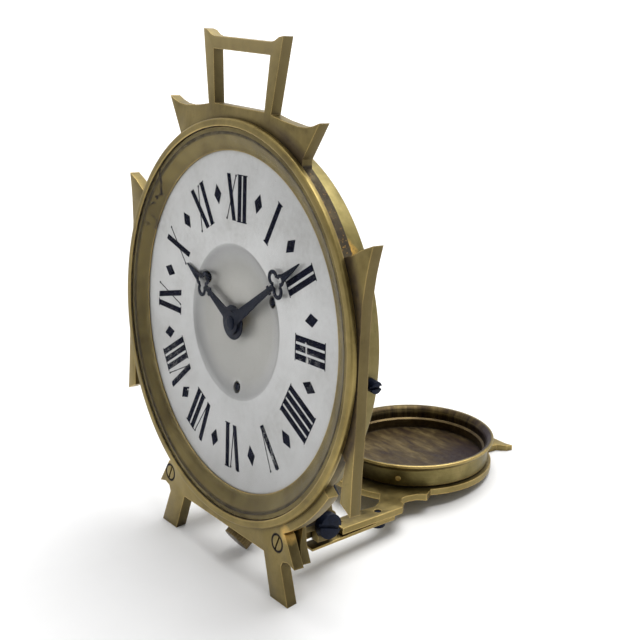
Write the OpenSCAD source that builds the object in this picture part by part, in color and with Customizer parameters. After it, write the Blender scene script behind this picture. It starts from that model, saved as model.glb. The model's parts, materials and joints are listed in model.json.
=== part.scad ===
// Folding travel alarm clock: a round brass clock in a flat frame casting with a top handle,
// side wings and two front feet. A rear base plate with a dish folds up over the movement can.
// Sizes are in millimetres. The modules are drawn in the clock's own upright frame (X right,
// Y backwards through the dial, Z up along the frame plate) and standing() leans them back.

/* [Bezel and dial] */
// Outer radius of the bezel rim
bezel_r = 50; // [48:0.5:54]
// Radius of the visible dial opening
opening_r = 42.1; // [40:0.1:43]
// Height of the dial centre above the feet, along the frame plate
dial_z = 62.55; // [62:0.05:64]
// Radius of the sunk centre of the dial
recess_r = 19.4; // [19:0.1:21]
// Depth of the sunk centre of the dial
recess_depth = 1.25; // [0.8:0.05:1.3]
// Clockwise turn of the dial's marks
dial_turn = -2.5; // [-3:0.5:0]
// Distance of the three winding holes from the dial centre
arbor_ring_r = 16.6; // [16.6:0.1:16.6]

/* [Hands] */
// Angle of the minute hand, clockwise from twelve
minute_angle = 53; // [0:1:359]
// Length of the minute hand from its centre
minute_len = 33.6; // [32:0.1:37]
// Angle of the hour hand, clockwise from twelve
hour_angle = 295; // [0:1:359]
// Length of the hour hand from its centre
hour_len = 24.4; // [22:0.1:25]

/* [Frame and drum] */
// Thickness of the frame casting
plate_t = 2.8; // [2.4:0.1:2.8]
// Outer radius of the drum behind the bezel
drum_r = 46.5; // [46.2:0.1:46.6]
// Distance of the drum's back face behind the dial's datum plane
drum_back = 8.6; // [8.6:0.1:8.6]
// Outer radius of the rear movement can
can_r = 17; // [17:0.1:17.2]
// Distance of the can's back face behind the datum plane
can_back = 16.5; // [16.3:0.1:16.6]
// Backward lean of the frame when the clock stands
lean = 10.2; // [10.2:0.1:10.2]

/* [Base and dish] */
// Upward tilt of the base plate, relative to the frame's normal
base_tilt = 4.13; // [4.13:0.01:4.13]
// Distance from the hinge pivot to the dish centre
dish_reach = 48.1; // [47.5:0.1:48.5]
// Outer radius of the dish wall
dish_r = 20.8; // [20.6:0.1:21]
// Height of the dish rim above the base plate's underside
dish_h = 8.56; // [8:0.01:9]
// Thickness of the base plate
base_t = 1.7; // [1.5:0.1:1.8]

/* [Hidden] */

BRASS = [0.55, 0.48, 0.29];
BRIGHT_BRASS = [0.78, 0.66, 0.36];
DARK_BRASS = [0.36, 0.29, 0.17];
SILVERED = [0.86, 0.86, 0.83];
BLUED = [0.08, 0.09, 0.14];
STEEL = [0.62, 0.63, 0.65];

plate_front = -0.4;
plate_back = plate_front + plate_t;
rim_front = -2;
dial_front = 0.75;
dial_t = 0.7;
recess_front = dial_front + recess_depth;
wall_t = 0.8;
fit_gap = 0.05;
depth_centre = 46.47;

// Hinge pivot, in the upright frame
pivot_y = 14.9;
pivot_z = 15.4;
// Underside of the base plate below the pivot, square to the plate
base_drop = 4.72;

// Movement planes
plate_y = 4.5;
plate_th = 0.7;
barrel_y = 5.45;
barrel_h = 2.1;

// ---------------------------------------------------------------- placing helpers

// Leans the upright frame back about the feet's front edge, which stays on the ground
module standing() {
    translate([0, -depth_centre, 0])
        rotate([-lean, 0, 0])
            translate([0, -plate_front, 0])
                children();
}

// Extrudes a front view (X right, Z up) between two depths
module slab(front, back) {
    translate([0, back, 0]) rotate([90, 0, 0]) linear_extrude(back - front) children();
}

// Extrudes a front view drawn about a point of the dial plane
module slab_at(point, front, back) {
    translate([point[0], 0, dial_z + point[1]]) slab(front, back) children();
}

// Turns a profile of [radius, depth] points about an axis through a point of the dial plane
module turned(point, profile) {
    translate([point[0], 0, dial_z + point[1]])
        rotate([-90, 0, 0])
            rotate_extrude($fn = 96)
                polygon(profile);
}

// A plain rod or disc about a point of the dial plane
module disc(point, r, front, back) {
    turned(point, [[0, front], [r, front], [r, back], [0, back]]);
}

// The same with a bore
module washer(point, r, bore, front, back) {
    turned(point, [[bore, front], [r, front], [r, back], [bore, back]]);
}

// Draws a piece twice, mirrored about the clock's middle plane
module both_sides() {
    children();
    mirror([1, 0, 0]) children();
}

// The base plate's own frame: origin at the pivot, Y along the plate, Z square to it
module on_base() {
    translate([0, pivot_y, pivot_z]) rotate([base_tilt, 0, 0]) children();
}

// Everything below the surface that the clock stands on
module below_ground() {
    translate([0, plate_front, 0])
        rotate([lean, 0, 0])
            translate([-100, -50, -20])
                cube([200, 200, 20]);
}

// Point at a clock angle (clockwise from twelve) and radius, in the dial plane
function at_clock(angle, r) = [r * sin(angle), r * cos(angle)];
// Point reached from another one, in a direction counter-clockwise from the right
function step_to(from, angle, r) = from + [r * cos(angle), r * sin(angle)];

// ---------------------------------------------------------------- gears

tooth_fill = 0.40;
addendum = 0.75;
dedendum = 1.15;

// One tooth's corners, from its leading root to its trailing root
function tooth(n, m, at) = let (
        pitch = 360 / n,
        half = pitch * tooth_fill / 2,
        r = n * m / 2
    )
    [for (k = [[-1.35, -dedendum], [-1, 0], [-0.45, addendum], [0.45, addendum], [1, 0],
            [1.35, -dedendum]])
        (r + k[1] * m) * [cos(at + k[0] * half), sin(at + k[0] * half)]];

module gear_outline(n, m, phase = 0) {
    polygon([for (i = [0 : n - 1]) for (p = tooth(n, m, phase + i * 360 / n)) p]);
}

// Phase that puts gear B's gap on gear A's tooth, with B in direction dir from A
function mesh_phase(na, phase_a, dir, nb) =
    dir + 180 - (0.5 - (dir - phase_a) * na / 360) * 360 / nb;

module gear(point, n, m, phase, front, back, bore = 0) {
    slab_at(point, front, back)
        difference() {
            gear_outline(n, m, phase);
            if (bore > 0) circle(r = bore, $fn = 48);
        }
}

// A crossed-out wheel: toothed rim, spokes and hub
module spoked_wheel(point, n, m, phase, front, back, bore, spokes = 4) {
    rim_r = n * m / 2 - dedendum * m - 0.55;
    hub_r = bore + 0.9;
    slab_at(point, front, back)
        difference() {
            union() {
                difference() {
                    gear_outline(n, m, phase);
                    circle(r = rim_r, $fn = 72);
                }
                circle(r = hub_r, $fn = 48);
                for (i = [0 : spokes - 1])
                    rotate(i * 360 / spokes)
                        translate([hub_r / 2, -0.35])
                            square([rim_r - hub_r / 2 + 0.2, 0.7]);
            }
            circle(r = bore, $fn = 48);
        }
}

// Tooth counts and modules of the two trains
cannon_teeth = 12;
minute_wheel_teeth = 36;
cannon_module = 0.3125;
minute_pinion_teeth = 10;
hour_teeth = 40;
hour_module = 0.30;
barrel_teeth = 72;
centre_pinion_teeth = 11;
barrel_module = 0.4;
centre_teeth = 60;
third_pinion_teeth = 10;
centre_module = 0.25;
third_teeth = 56;
fourth_pinion_teeth = 8;
third_module = 0.22;
fourth_teeth = 50;
escape_pinion_teeth = 7;
fourth_module = 0.2;
escape_teeth = 15;
alarm_teeth = 60;

// Arbor positions in the dial plane
CENTRE = [0, 0];
GOING = at_clock(60, arbor_ring_r);
ALARM = at_clock(300, arbor_ring_r);
SETTING = at_clock(177, arbor_ring_r);
motion_dir = -30;
MOTION = step_to(CENTRE, motion_dir, (cannon_teeth + minute_wheel_teeth) * cannon_module / 2);
third_dir = -60;
THIRD = step_to(CENTRE, third_dir, (centre_teeth + third_pinion_teeth) * centre_module / 2);
fourth_dir = 190;
FOURTH = step_to(THIRD, fourth_dir, (third_teeth + fourth_pinion_teeth) * third_module / 2);
escape_dir = 150;
ESCAPE = step_to(FOURTH, escape_dir, (fourth_teeth + escape_pinion_teeth) * fourth_module / 2);
lever_dir = 120;
LEVER = step_to(ESCAPE, lever_dir, 5);
balance_dir = 70;
BALANCE = step_to(LEVER, balance_dir, 5.5);
HAMMER = [6, 10.5];

// Tooth phases, each worked out from the wheel that it meshes with
cannon_phase = 90 - minute_angle;
minute_wheel_phase = mesh_phase(cannon_teeth, cannon_phase, motion_dir, minute_wheel_teeth);
minute_pinion_phase = minute_wheel_phase;
hour_phase = mesh_phase(minute_pinion_teeth, minute_pinion_phase, motion_dir + 180, hour_teeth);
going_dir = 30;
barrel_phase = mesh_phase(centre_pinion_teeth, cannon_phase, going_dir, barrel_teeth);
third_phase = mesh_phase(centre_teeth, cannon_phase, third_dir, third_pinion_teeth);
fourth_phase = mesh_phase(third_teeth, third_phase, fourth_dir, fourth_pinion_teeth);
escape_phase = mesh_phase(fourth_teeth, fourth_phase, escape_dir, escape_pinion_teeth);

// ---------------------------------------------------------------- frame casting

// Half of the crown: ear, concave shoulder and handle side
crown_half = [[-1, 108], [26.4, 103], [26.4, 106.3], [32, 115.1], [29.6, 114.2], [27, 113.6],
    [24, 113.5], [18, 114.1], [13.4, 114.9], [16.9, 132.9], [15.2, 132.6], [13.6, 131.7],
    [12, 131.3], [-1, 131.3]];
// Half of the handle window
window_half = [[-1, 115.25], [10.7, 115.25], [12.1, 128.3], [-1, 128.3]];
// One wing: tip, concave outer edge, lower tip and inner edge under the bezel
wing = [[38, 85.5], [43.5, 87.8], [46, 88.7], [48.8, 90.4], [52.6, 92], [51.6, 88], [51, 85],
    [50.2, 79], [50.1, 71], [50.4, 58], [50.6, 49], [50.4, 40], [50.5, 31.1], [46.7, 33.1],
    [47, 38], [47.8, 43], [44, 47]];
// One front leg, drawn down past the ground
foot = [[18.2, 11.8], [18.7, 10.2], [22.6, -1], [29.8, -1], [25.9, 9.2], [26.6, 10.6],
    [28.6, 11.2], [31.3, 10.5], [27.1, 17.5], [22, 19]];

// Lower crescent of the casting, which ends square on both sides
module crescent_outline() {
    intersection() {
        translate([0, dial_z]) circle(r = bezel_r + 2, $fn = 180);
        polygon([[0, dial_z], [58, 21.9], [58, 0], [-58, 0], [-58, 26.3]]);
    }
}

module casting_blank() {
    slab(plate_front, plate_back) translate([0, dial_z]) circle(r = bezel_r - 0.6, $fn = 180);
    slab(plate_front, plate_back) crescent_outline();
    // Straight beam between the legs
    slab(plate_front, plate_back) translate([-24, 10.3]) square([48, 7]);
    both_sides() {
        slab(plate_front, plate_back)
            difference() {
                polygon(crown_half);
                polygon(window_half);
            }
        slab(plate_front, plate_back) polygon(wing);
        slab(plate_front, plate_back) polygon(foot);
    }
}

bracket_screw_xs = [24, -26.2];
bracket_screw_z = 14.45;
screw_head_r = 2;
screw_head_t = 1.2;

module frame_casting() {
    color(BRASS) standing()
        difference() {
            casting_blank();
            disc(CENTRE, drum_r + fit_gap, plate_front - 1, plate_back + 1);
            below_ground();
            for (x = bracket_screw_xs)
                translate([x, plate_front, bracket_screw_z])
                    rotate([-90, 0, 0]) {
                        translate([0, 0, -1])
                            cylinder(r = screw_head_r + 0.2, h = 1 + screw_head_t, $fn = 48);
                        cylinder(r = 1.25, h = plate_t + 1, $fn = 48);
                    }
        }
}

// ---------------------------------------------------------------- bezel, glass and dial

rim_inner_r = bezel_r - 2;
glass_t = 0.5;
glass_front = rim_front + 0.05;

module bezel_rim() {
    color(BRASS) standing()
        turned(CENTRE, [[rim_inner_r, rim_front + 0.15], [rim_inner_r + 0.2, rim_front],
            [bezel_r - 0.35, rim_front], [bezel_r, rim_front + 0.35], [bezel_r, plate_front],
            [rim_inner_r, plate_front]]);
}

sight_outer_r = rim_inner_r - 0.1;
sight_front = glass_front + glass_t;

// Cove of the sight ring, from its flat land down to the dial opening
cove = [for (i = [0 : 10]) let (t = i / 10)
    [sight_outer_r - 1.2 - t * (sight_outer_r - 1.2 - opening_r),
        sight_front + (dial_front - 0.3 - sight_front) * pow(sin(t * 90), 1.25)]];

module sight_ring() {
    color(BRASS) standing()
        turned(CENTRE, concat([[sight_outer_r, sight_front]], cove,
            [[opening_r, dial_front], [drum_r, dial_front], [drum_r, plate_front],
                [sight_outer_r, plate_front]]));
}

module dial_glass() {
    color("white", 0.2) standing()
        disc(CENTRE, rim_inner_r - 0.05, glass_front, sight_front);
}

centre_hole_r = 1.75;
key_hole_r = 1.5;

module dial() {
    color(SILVERED) standing()
        difference() {
            turned(CENTRE, [[centre_hole_r, recess_front], [recess_r - 5.4, recess_front],
                [recess_r - 4, recess_front - 0.1], [recess_r - 1.6, recess_front - 0.42],
                [recess_r - 0.8, recess_front - 0.75], [recess_r, dial_front], [drum_r - 0.05, dial_front],
                [drum_r - 0.05, dial_front + dial_t], [recess_r + 0.4, dial_front + dial_t],
                [recess_r - 0.6, recess_front + dial_t], [centre_hole_r, recess_front + dial_t]]);
            for (p = [GOING, ALARM, SETTING]) disc(p, key_hole_r, 0, 4);
        }
}

// The marks are engraved a little off the dial's centre, and three of them stand off their even places
MARKS = [0.2, -0.5];
mark_slip = 2;
function numeral_slip(hour) = hour == 9 ? mark_slip : 0;
function diamond_slip(hour) = hour == 0 || hour == 2 ? mark_slip : 0;
numeral_in = 25.6;
numeral_out = 36.9;
ink_t = 0.06;
bar_w = 1.5;
bar_pitch = 2.15;
hair_w = 0.24;

// A straight stroke between two points, with level ends
module stroke(x0, x1, w) {
    polygon([[x0 - w / 2, numeral_in], [x0 + w / 2, numeral_in], [x1 + w / 2, numeral_out],
        [x1 - w / 2, numeral_out]]);
}

module serif(x, w) {
    for (r = [numeral_in - hair_w / 2, numeral_out - hair_w / 2])
        translate([x - w / 2, r]) square([w, hair_w]);
}

// Width taken by each letter
function letter_w(c) = c == "I" ? bar_pitch : c == "V" ? 4.6 : 5.0;
function word_w(s, n) = n == 0 ? 0 : letter_w(s[n - 1]) + word_w(s, n - 1);

module letter(c) {
    if (c == "I") {
        stroke(0, 0, bar_w);
        serif(0, bar_pitch);
    }
    if (c == "V") {
        stroke(0.3, -1.4, bar_w);
        stroke(0.6, 1.8, hair_w);
        for (p = [[1.75, numeral_out - 0.3], [-1.4, numeral_out - 0.12]])
            translate(p) circle(r = 0.3, $fn = 16);
    }
    if (c == "X") {
        stroke(1.3, -1.4, bar_w);
        stroke(-1.9, 1.9, hair_w);
        for (k = [-1, 1])
            translate([k * 1.85, k > 0 ? numeral_out - 0.3 : numeral_in + 0.3])
                circle(r = 0.3, $fn = 16);
    }
}

ROMAN = ["XII", "I", "II", "III", "IIII", "V", "VI", "VII", "VIII", "IX", "X", "XI"];

module numeral(s) {
    start = -word_w(s, len(s)) / 2;
    for (i = [0 : len(s) - 1])
        translate([start + word_w(s, i) + letter_w(s[i]) / 2, 0])
            letter(s[i]);
}

module dial_numerals() {
    color(BLUED) standing()
        slab_at(CENTRE, dial_front - ink_t, dial_front)
            for (h = [0 : 11])
                translate(MARKS) rotate(-30 * h - dial_turn - numeral_slip(h))
                    numeral(ROMAN[h]);
}

diamond_r = 32.3;

module dial_diamonds() {
    color(BLUED) standing()
        slab_at(CENTRE, dial_front - ink_t, dial_front)
            for (h = [0 : 11])
                translate(MARKS) rotate(-30 * h - 15 - dial_turn - diamond_slip(h))
                    translate([0, diamond_r])
                        polygon([[1.6, 0], [0, 2.5], [-1.6, 0], [0, -2.5]]);
}

// ---------------------------------------------------------------- drum, can and movement plates

arbor_r = 1.0;
pivot_hole_r = 0.36;
pillar_r = 36;

module drum_case() {
    color(BRASS) standing()
        difference() {
            turned(CENTRE, [[drum_r - wall_t, dial_front + dial_t], [drum_r, dial_front + dial_t],
                [drum_r, drum_back], [0, drum_back], [0, drum_back - wall_t],
                [drum_r - wall_t, drum_back - wall_t]]);
            disc(CENTRE, 0.85, 0, 10);
            for (p = [GOING, ALARM, SETTING]) disc(p, 0.65, 0, 10);
            for (p = [THIRD, FOURTH, ESCAPE, LEVER, BALANCE, HAMMER])
                disc(p, pivot_hole_r, 0, 10);
        }
}

module pillar_plate() {
    color(BRIGHT_BRASS) standing()
        difference() {
            disc(CENTRE, 41, plate_y, plate_y + plate_th);
            disc(CENTRE, 1.05, 4, 6);
            for (p = [GOING, ALARM, SETTING]) disc(p, arbor_r + fit_gap, 4, 6);
            disc(MOTION, 0.45, 4, 6);
            for (a = [45 : 90 : 315]) disc(at_clock(a, pillar_r), 0.8, 4, 6);
        }
}

module plate_pillars() {
    color(BRIGHT_BRASS) standing()
        for (a = [45 : 90 : 315])
            washer(at_clock(a, pillar_r), 1.8, 0.8, plate_y + plate_th, drum_back - wall_t);
}

// A slotted screw with its head's outer face at depth front and its shank running backwards
module slotted_screw(point, head_r, head_t, shank_r, shank_len, front, slot_angle) {
    difference() {
        union() {
            disc(point, head_r, front, front + head_t);
            disc(point, shank_r, front + head_t, front + head_t + shank_len);
        }
        slab_at(point, front - 0.1, front + head_t * 0.45)
            rotate(slot_angle)
                square([head_r * 2.2, head_r * 0.28], center = true);
    }
}

module plate_screws() {
    color(BLUED) standing()
        for (a = [45 : 90 : 315])
            slotted_screw(at_clock(a, pillar_r), 1.6, 0.6, 0.75, 2.2, plate_y - 0.6, a);
}

module rear_cover() {
    color(BRASS) standing()
        turned(CENTRE, [[can_r - 0.7, drum_back], [can_r, drum_back], [can_r, can_back - 0.6],
            [can_r - 0.6, can_back], [0, can_back], [0, can_back - 0.7],
            [can_r - 0.7, can_back - 0.7]]);
}

module train_bridge() {
    color(BRIGHT_BRASS) standing()
        difference() {
            disc(CENTRE, 15.6, 12.6, 13.2);
            disc(CENTRE, 0.75, 12, 14);
            for (p = [THIRD, FOURTH, ESCAPE, LEVER, HAMMER]) disc(p, pivot_hole_r, 12, 14);
            disc(BALANCE, 1.0, 12, 14);
            for (p = BRIDGE_POSTS) disc(p, 0.55, 12, 14);
        }
}

BRIDGE_POSTS = [[13.2, -1], [0, 13.2], [-10.7, -9.2]];

module bridge_pillars() {
    color(BRIGHT_BRASS) standing()
        for (p = BRIDGE_POSTS)
            washer(p, 1.0, 0.55, drum_back, 12.6);
}

module bridge_screws() {
    color(BLUED) standing()
        for (p = BRIDGE_POSTS)
            mirror_depth(13.2 + 0.5)
                slotted_screw(p, 1.05, 0.5, 0.5, 2.2, 0, 30);
}

// Turns a screw round, so that its head's outer face is at the given depth, facing backwards
module mirror_depth(back) {
    translate([0, back, 0]) mirror([0, 1, 0]) children();
}

cock_dir = 21.6;
cock_reach = 10.45;
COCK_POST = step_to(BALANCE, cock_dir, cock_reach);

module balance_cock() {
    color(BRIGHT_BRASS) standing()
        difference() {
            union() {
                disc(COCK_POST, 1.3, 13.2, 15.2);
                disc(BALANCE, 1, 14.8, 15.2);
                slab_at(BALANCE, 14.8, 15.2)
                    rotate(cock_dir)
                        polygon([[0, -0.9], [cock_reach, -1.2], [cock_reach, 1.2], [0, 0.9]]);
            }
            disc(BALANCE, 0.35, 14, 16);
        }
}

// ---------------------------------------------------------------- hinge brackets and screws

// Side view (Y right, Z up) extruded between two X positions
module side_slab(x0, x1) {
    translate([x0, 0, 0]) rotate([90, 0, 90]) linear_extrude(x1 - x0) children();
}

lug_out_x = 22.7;
lug_in_x = 20;
pivot_r = 1.5;
lug_cam_r = base_drop - 0.1;

module lug_outline() {
    difference() {
        polygon([[12.9, pivot_z - lug_cam_r], [18.1, pivot_z - lug_cam_r], [18.1, 17.4],
            [17.7, 18], [17, 18.3], [16.6, 19.9], [14.6, 20.2], [plate_back + 2.4, 20.2],
            [plate_back + 2.4, 14.2], [12.9, 14.2]]);
        // Lower rear corner rounded about the pivot, so that the leaf spring can pass
        difference() {
            translate([pivot_y, 5]) square([10, pivot_z - 5]);
            translate([pivot_y, pivot_z]) circle(r = lug_cam_r, $fn = 96);
        }
    }
}

// Block behind the frame's ear, with a chamfered front so that a dark wedge shows
module ear_block() {
    difference() {
        slab(plate_back, plate_back + 2.6)
            polygon([[lug_in_x, 19], [lug_in_x, 12.5], [24.2, 10.4], [26.4, 9.2], [27.4, 10.4],
                [30.6, 10.8], [28.6, 14.6], [27.9, 19]]);
        side_slab(lug_in_x - 1, 33)
            polygon([[plate_back - 1, 11.5], [plate_back, 11.5], [plate_back + 1.7, 19.2],
                [plate_back - 1, 19.2]]);
    }
}

module hinge_bracket(screw_x) {
    difference() {
        union() {
            side_slab(lug_in_x, lug_out_x) lug_outline();
            ear_block();
        }
        translate([0, pivot_y, pivot_z])
            rotate([0, 90, 0]) cylinder(r = pivot_r + 0.02, h = 40, $fn = 48);
        translate([screw_x, 0, bracket_screw_z])
            rotate([-90, 0, 0]) cylinder(r = 1.25, h = 10, $fn = 48);
    }
}

module hinge_bracket_right() {
    color(BRASS) standing() hinge_bracket(bracket_screw_xs[0]);
}

module hinge_bracket_left() {
    color(BRASS) standing() mirror([1, 0, 0]) hinge_bracket(-bracket_screw_xs[1]);
}

module bracket_screws() {
    color(BRASS) standing()
        for (x = bracket_screw_xs)
            slotted_screw([x, bracket_screw_z - dial_z], screw_head_r, screw_head_t,
                1.2, plate_back + 2.2 - plate_front - screw_head_t, plate_front, 68);
}

pivot_head_r = 3.2;
pivot_head_t = 2.3;
knuckle_in_x = 17.2;

module pivot_screws() {
    color(BLUED) standing()
        both_sides()
            translate([0, pivot_y, pivot_z])
                rotate([0, 90, 0])
                    difference() {
                        union() {
                            translate([0, 0, knuckle_in_x])
                                cylinder(r = pivot_r, h = lug_out_x - knuckle_in_x, $fn = 48);
                            translate([0, 0, lug_out_x])
                                cylinder(r = pivot_head_r, h = pivot_head_t, $fn = 64);
                        }
                        translate([0, 0, lug_out_x + pivot_head_t])
                            rotate([0, 0, -14])
                                cube([0.9, 8, 1.6], center = true);
                    }
}

drum_screw_y = 6;
drum_screw_r = 1.45;

module drum_screws() {
    color(BLUED) standing()
        for (a = [-3.8, -42.3])
            translate([0, drum_screw_y, dial_z])
                rotate([0, -a, 0])
                    rotate([0, 90, 0])
                        difference() {
                            translate([0, 0, drum_r + 0.1])
                                cylinder(r = drum_screw_r, h = 2.7, $fn = 48);
                            translate([0, 0, drum_r + 2.8])
                                cube([0.6, 6, 1.4], center = true);
                        }
}

// ---------------------------------------------------------------- alarm stop button

stop_tilt = 41.3;
stop_end = [4.0, 4.4];
stop_r = 3.7;
stop_cap = 4.6;
stop_travel = 1.5;
guide_start = stop_cap + stop_travel + 0.4;
guide_len = 4;
stem_r = 1.4;

// Frame of the button's axis: Z runs inwards, up and backwards, from the cap's end face
module on_stop_axis() {
    translate([0, stop_end[0], stop_end[1]]) rotate([-(90 - stop_tilt), 0, 0]) children();
}

module stop_button() {
    color(DARK_BRASS) standing()
        on_stop_axis() {
            linear_extrude(stop_cap)
                polygon([for (i = [0 : 59]) (i % 2 == 0 ? stop_r : stop_r - 0.22)
                    * [cos(i * 6), sin(i * 6)]]);
            translate([0, 0, stop_cap]) cylinder(r = stem_r, h = guide_len + stop_travel + 1, $fn = 48);
        }
}

module stop_bracket() {
    color(BRASS) standing()
        difference() {
            union() {
                translate([-3, drum_back, 17]) cube([6, 1.2, 7]);
                side_slab(-1.6, 1.6)
                    polygon([[drum_back, 21], [drum_back, 10.2], [13, 10.2], [13, 14.5],
                        [drum_back + 1.2, 21]]);
                on_stop_axis()
                    translate([0, 0, guide_start]) cylinder(r = 2.7, h = guide_len, $fn = 64);
            }
            on_stop_axis() cylinder(r = stem_r + fit_gap, h = 30, $fn = 48);
            translate([0, 0, dial_z - drum_r - 0.15]) side_slab(-5, 5) square([drum_back, 20]);
            disc([0, 22.6 - dial_z], 0.8, 0, 20);
        }
}

module stop_bracket_screw() {
    color(BLUED) standing()
        mirror_depth(drum_back + 1.2 + 0.9)
            slotted_screw([0, 22.6 - dial_z], 1.4, 0.9, 0.75, 1.15, 0, 20);
}

// ---------------------------------------------------------------- hands and motion work

hour_front = 0.2;
hour_back = 0.5;
minute_front = -0.35;
minute_back = -0.05;
tube_r = 0.95;
pipe_r = 1.55;

// Pierced trefoil: two side lobes and a forward one, each a ring, round a clear middle
module trefoil(at, side_r, tip_r, wall) {
    lobes = [[side_r, -0.1, side_r], [-side_r, -0.1, side_r], [0, side_r + 0.35, tip_r]];
    difference() {
        for (l = lobes) translate([l[0], at + l[1]]) circle(r = l[2], $fn = 40);
        for (l = lobes) translate([l[0] * 0.92, at + l[1]]) circle(r = l[2] - wall, $fn = 40);
        translate([0, at + 0.5]) circle(r = side_r * 0.72, $fn = 40);
    }
}

module hand_outline(hub_r, root_w, neck_w, loop_at, side_r, tip_r, length) {
    collar = loop_at - side_r - 1.9;
    circle(r = hub_r, $fn = 72);
    polygon([[-root_w / 2, 0], [root_w / 2, 0], [neck_w / 2, collar + 0.2],
        [-neck_w / 2, collar + 0.2]]);
    translate([-1.15, collar]) square([2.3, 0.8]);
    translate([-neck_w / 2, collar]) square([neck_w, loop_at - side_r * 0.55 - collar]);
    trefoil(loop_at, side_r, tip_r, 0.85);
    polygon([[-1.05, loop_at + side_r + tip_r - 0.3], [1.05, loop_at + side_r + tip_r - 0.3],
        [0.85, loop_at + side_r + tip_r + 1.6], [0.16, length], [-0.16, length],
        [-0.85, loop_at + side_r + tip_r + 1.6]]);
}

module hour_hand() {
    color(BLUED) standing()
        slab_at(CENTRE, hour_front, hour_back)
            rotate(-hour_angle)
                difference() {
                    hand_outline(4.3, 3.6, 1.4, 15.6, 1.75, 1.5, hour_len);
                    circle(r = pipe_r, $fn = 48);
                }
}

module minute_hand() {
    color(BLUED) standing()
        slab_at(CENTRE, minute_front, minute_back)
            rotate(-minute_angle)
                difference() {
                    hand_outline(2.9, 3.4, 1.4, 22.6, 1.85, 1.5, minute_len);
                    circle(r = tube_r, $fn = 48);
                }
}

module hand_nut() {
    color(BLUED) standing()
        turned(CENTRE, [[0, minute_front - 0.45], [1.3, minute_front - 0.45],
            [1.7, minute_front - 0.25], [1.7, minute_front], [0, minute_front]]);
}

module cannon_pinion() {
    color(STEEL) standing() {
        washer(CENTRE, tube_r, 0.45, minute_front, 3.75);
        gear(CENTRE, cannon_teeth, cannon_module, cannon_phase, 3.75, 4.35, 0.45);
    }
}

module centre_arbor() {
    color(STEEL) standing() {
        disc(CENTRE, 0.45, minute_front, 4.4);
        disc(CENTRE, 0.95, 4.4, 5.5);
        gear(CENTRE, centre_pinion_teeth, barrel_module, cannon_phase, 5.5, 7.5);
        disc(CENTRE, 0.75, 7.5, 9.6);
        disc(CENTRE, 0.6, 9.6, 12.9);
    }
}

module centre_wheel() {
    color(BRIGHT_BRASS) standing()
        spoked_wheel(CENTRE, centre_teeth, centre_module, cannon_phase, 9.1, 9.5, 0.75);
}

module hour_wheel() {
    color(BRIGHT_BRASS) standing() {
        washer(CENTRE, pipe_r, tube_r + fit_gap, hour_front, 3.1);
        gear(CENTRE, hour_teeth, hour_module, hour_phase, 3.1, 3.5, tube_r + fit_gap);
    }
}

stud_r = 0.4;

module minute_wheel() {
    color(BRIGHT_BRASS) standing() {
        gear(MOTION, minute_pinion_teeth, hour_module, minute_pinion_phase, 2.95, 3.75,
            stud_r + fit_gap);
        gear(MOTION, minute_wheel_teeth, cannon_module, minute_wheel_phase, 3.75, 4.25,
            stud_r + fit_gap);
    }
}

module minute_wheel_stud() {
    color(STEEL) standing()
        disc(MOTION, stud_r, 2.9, plate_y + plate_th);
}

// ---------------------------------------------------------------- barrels and winding arbors

// A toothed barrel with a flat back, an open front and a hub round its arbor
module barrel(point, n, m, phase) {
    drum_inner = n * m / 2 - 1.6;
    difference() {
        slab_at(point, barrel_y, barrel_y + barrel_h) gear_outline(n, m, phase);
        disc(point, drum_inner, barrel_y - 1, barrel_y + barrel_h - 0.5);
        disc(point, arbor_r + fit_gap, barrel_y - 1, barrel_y + barrel_h + 1);
    }
}

// Flat spiral strip from one radius to another
function spiral(r0, r1, turns, grow, n) = [for (i = [0 : n]) let (
        a = i * turns * 360 / n,
        r = r0 + (r1 - r0) * i / n + grow
    ) [r * cos(a), r * sin(a)]];
function reversed(v) = [for (i = [len(v) - 1 : -1 : 0]) v[i]];

module spiral_strip(r0, r1, turns, w, n) {
    polygon(concat(spiral(r0, r1, turns, 0, n), reversed(spiral(r0, r1, turns, w, n))));
}

module going_barrel() {
    color(BRIGHT_BRASS) standing()
        barrel(GOING, barrel_teeth, barrel_module, barrel_phase);
}

module alarm_barrel() {
    color(BRIGHT_BRASS) standing()
        barrel(ALARM, alarm_teeth, barrel_module, 0);
}

module mainspring(point, n) {
    slab_at(point, barrel_y + 0.1, barrel_y + barrel_h - 0.6)
        spiral_strip(2.6, n * barrel_module / 2 - 2.1, 5, 0.3, 90);
}

module going_mainspring() {
    color(STEEL) standing() mainspring(GOING, barrel_teeth);
}

module alarm_mainspring() {
    color(STEEL) standing() mainspring(ALARM, alarm_teeth);
}

// Arbor with a square front end for the key, reached through the dial
module key_arbor(point) {
    slab_at(point, recess_front - 0.1, 3) square(1.5, center = true);
    disc(point, arbor_r, 3, barrel_y + barrel_h + 0.1);
    disc(point, 0.6, barrel_y + barrel_h + 0.1, drum_back - 0.1);
}

module going_arbor() {
    color(STEEL) standing() key_arbor(GOING);
}

module alarm_arbor() {
    color(STEEL) standing() key_arbor(ALARM);
}

module alarm_setting_arbor() {
    color(STEEL) standing() {
        key_arbor(SETTING);
        washer(SETTING, 4, arbor_r, 5.8, 6.3);
    }
}

// ---------------------------------------------------------------- rear train and escapement

// A pinion's arbor with thin end pivots in the drum wall and in the bridge
module train_arbor(point, r) {
    disc(point, pivot_hole_r - fit_gap, drum_back - 0.7, drum_back + 0.1);
    disc(point, r, drum_back + 0.1, 12.5);
    disc(point, pivot_hole_r - fit_gap, 12.5, 13.1);
}

module third_wheel() {
    color(BRIGHT_BRASS) standing() {
        train_arbor(THIRD, 0.5);
        gear(THIRD, third_pinion_teeth, centre_module, third_phase, 8.9, 9.7);
        spoked_wheel(THIRD, third_teeth, third_module, third_phase, 10.1, 10.5, 0.5);
    }
}

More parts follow.
